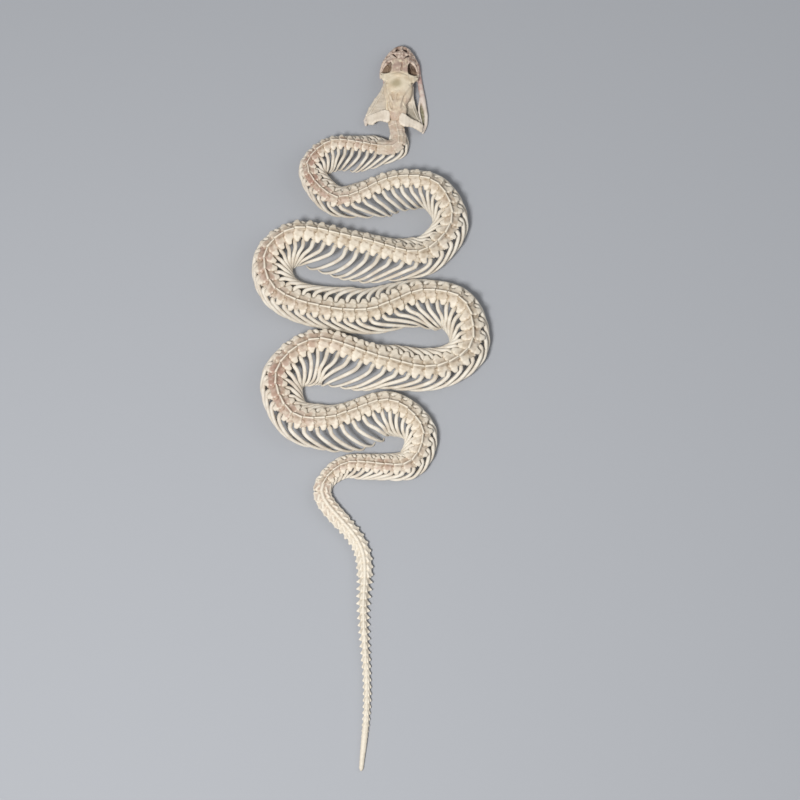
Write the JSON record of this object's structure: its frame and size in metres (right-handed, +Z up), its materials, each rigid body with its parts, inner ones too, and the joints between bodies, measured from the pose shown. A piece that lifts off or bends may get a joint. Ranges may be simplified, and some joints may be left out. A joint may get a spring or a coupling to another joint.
{
  "type": "snake skeleton",
  "caption": "Complete dry skeleton of a stout-bodied snake, belly down in seven bends, with skull, jaws, ribbed trunk and a straight tapering tail",
  "frame": {"origin": "middle of the footprint, on the floor that the rib tips, jaws and tail rest on", "axes": "+Y towards the snout, along the length of the laid-out skeleton, +X to its right as seen from above, +Z up"},
  "size_m": [0.141, 0.453, 0.02],
  "materials": {
    "skull_bone": "dry cream bone with tan hollows and fine sutures",
    "snout_bone": "thin dry bone with a pinkish brown tint",
    "jaw_bone": "dry pale bone, pinkish towards the chin",
    "trunk_bone": "dry ivory bone, whiter ribs, tan arches with reddish stains",
    "tail_bone": "dry pale bone"
  },
  "bodies": {
    "root": {"skull_cranium": "skull_bone", "skull_snout": "snout_bone", "maxilla_left": "snout_bone", "palate_left": "skull_bone", "quadrate_left": "skull_bone", "mandible_left": "jaw_bone", "maxilla_right": "snout_bone", "palate_right": "skull_bone", "quadrate_right": "skull_bone", "mandible_right": "jaw_bone", "neck_left": "trunk_bone", "neck_right": "trunk_bone", "trunk_1_left": "trunk_bone", "trunk_1_right": "trunk_bone", "trunk_2_left": "trunk_bone", "trunk_2_right": "trunk_bone", "trunk_3_left": "trunk_bone", "trunk_3_right": "trunk_bone", "trunk_4_left": "trunk_bone", "trunk_4_right": "trunk_bone", "trunk_5_left": "trunk_bone", "trunk_5_right": "trunk_bone", "trunk_6_left": "trunk_bone", "trunk_6_right": "trunk_bone", "trunk_7_left": "trunk_bone", "trunk_7_right": "trunk_bone", "tail_1": "tail_bone", "tail_2": "tail_bone", "tail_3": "tail_bone"}
  },
  "joints": []
}
